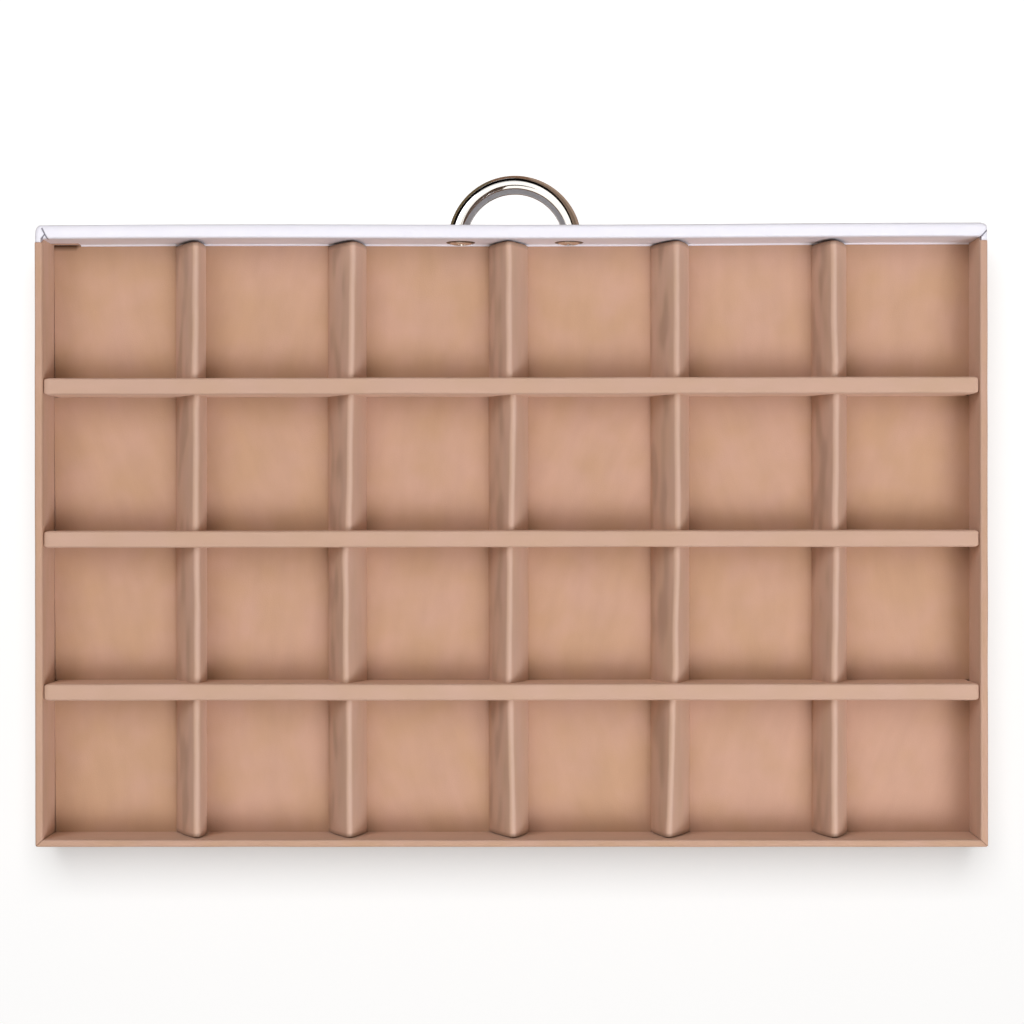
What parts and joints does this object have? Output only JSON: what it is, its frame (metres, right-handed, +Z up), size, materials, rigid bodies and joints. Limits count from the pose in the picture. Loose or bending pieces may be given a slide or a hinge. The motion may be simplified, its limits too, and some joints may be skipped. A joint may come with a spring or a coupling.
{
  "type": "ring display tray",
  "caption": "Shallow drawer tray for rings: suede-lined compartments between strip and tent-shaped dividers, a white leatherette front and a rigid round-rod bow handle.",
  "frame": {"origin": "centre of the tray's underside, counted without the handle", "axes": "front and handle towards -Y, +X along the length to the right of whoever faces the front, +Z up"},
  "size_m": [0.32, 0.2273, 0.024],
  "materials": {
    "tan_suede": "brushed microsuede nap",
    "white_leatherette": "satin, fine grain",
    "polished_nickel": "polished",
    "turned_steel": "turned",
    "plated_steel": "plated",
    "fibreboard": "raw sawn",
    "underside_lining": "embossed lining paper"
  },
  "bodies": {
    "root": {"bottom_cover": "underside_lining", "base_board": "fibreboard", "front_board": "fibreboard", "front_leatherette": "white_leatherette", "handle_bow": "polished_nickel", "handle_washers": "turned_steel", "handle_screws": "plated_steel", "left_wall_board": "fibreboard", "left_wall_suede": "tan_suede", "right_wall_board": "fibreboard", "right_wall_suede": "tan_suede", "rear_wall_board": "fibreboard", "rear_wall_suede": "tan_suede", "row_divider_1": "tan_suede", "row_divider_2": "tan_suede", "row_divider_3": "tan_suede", "column_divider_r1_c1": "tan_suede", "column_divider_r1_c2": "tan_suede", "column_divider_r1_c3": "tan_suede", "column_divider_r1_c4": "tan_suede", "column_divider_r1_c5": "tan_suede", "floor_card_r1_c1": "tan_suede", "floor_card_r1_c2": "tan_suede", "floor_card_r1_c3": "tan_suede", "floor_card_r1_c4": "tan_suede", "floor_card_r1_c5": "tan_suede", "floor_card_r1_c6": "tan_suede", "column_divider_r2_c1": "tan_suede", "column_divider_r2_c2": "tan_suede", "column_divider_r2_c3": "tan_suede", "column_divider_r2_c4": "tan_suede", "column_divider_r2_c5": "tan_suede", "floor_card_r2_c1": "tan_suede", "floor_card_r2_c2": "tan_suede", "floor_card_r2_c3": "tan_suede", "floor_card_r2_c4": "tan_suede", "floor_card_r2_c5": "tan_suede", "floor_card_r2_c6": "tan_suede", "column_divider_r3_c1": "tan_suede", "column_divider_r3_c2": "tan_suede", "column_divider_r3_c3": "tan_suede", "column_divider_r3_c4": "tan_suede", "column_divider_r3_c5": "tan_suede", "floor_card_r3_c1": "tan_suede", "floor_card_r3_c2": "tan_suede", "floor_card_r3_c3": "tan_suede", "floor_card_r3_c4": "tan_suede", "floor_card_r3_c5": "tan_suede", "floor_card_r3_c6": "tan_suede", "column_divider_r4_c1": "tan_suede", "column_divider_r4_c2": "tan_suede", "column_divider_r4_c3": "tan_suede", "column_divider_r4_c4": "tan_suede", "column_divider_r4_c5": "tan_suede", "floor_card_r4_c1": "tan_suede", "floor_card_r4_c2": "tan_suede", "floor_card_r4_c3": "tan_suede", "floor_card_r4_c4": "tan_suede", "floor_card_r4_c5": "tan_suede", "floor_card_r4_c6": "tan_suede"}
  },
  "joints": []
}
